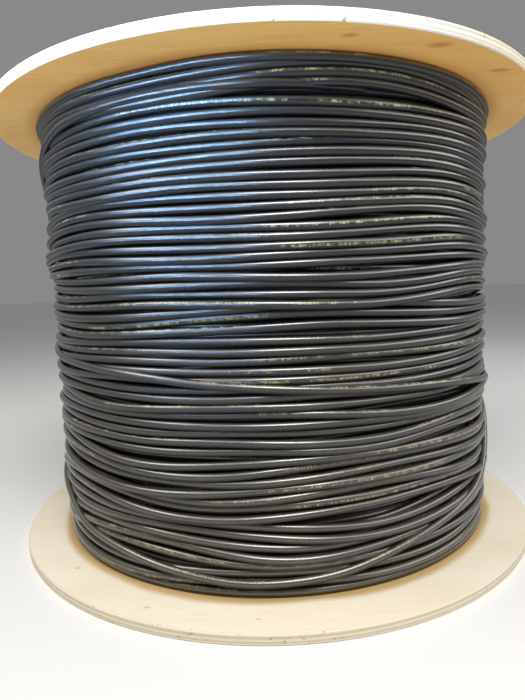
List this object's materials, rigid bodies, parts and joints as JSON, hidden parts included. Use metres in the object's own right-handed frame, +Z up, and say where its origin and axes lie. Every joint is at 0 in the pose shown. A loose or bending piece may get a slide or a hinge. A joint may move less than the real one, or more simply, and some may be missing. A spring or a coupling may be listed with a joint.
{
  "type": "wooden cable drum",
  "caption": "Plywood-flanged drum standing on end, filled with thin black cable wound in many uneven turns between two round discs.",
  "frame": {"origin": "centre of the lower flange's outer face, on the drum's axis", "axes": "+Z up along the drum's axis, +X towards a drive hole, -Y towards the viewer"},
  "size_m": [0.4999, 0.5, 0.386],
  "materials": {
    "plywood": "raw plywood, pale rim",
    "tube_board": "brown wound board",
    "cable_sheath": "black sheath, semi-matt, dusty",
    "steel": "zinc plated"
  },
  "bodies": {
    "root": {"flange_bottom": "plywood", "flange_top": "plywood", "barrel": "tube_board", "cable_winding": "cable_sheath", "tie_bolt_1": "steel", "tie_bolt_2": "steel", "tie_bolt_3": "steel", "tie_bolt_4": "steel", "sleeve_nut_1": "steel", "sleeve_nut_2": "steel", "sleeve_nut_3": "steel", "sleeve_nut_4": "steel"}
  },
  "joints": []
}
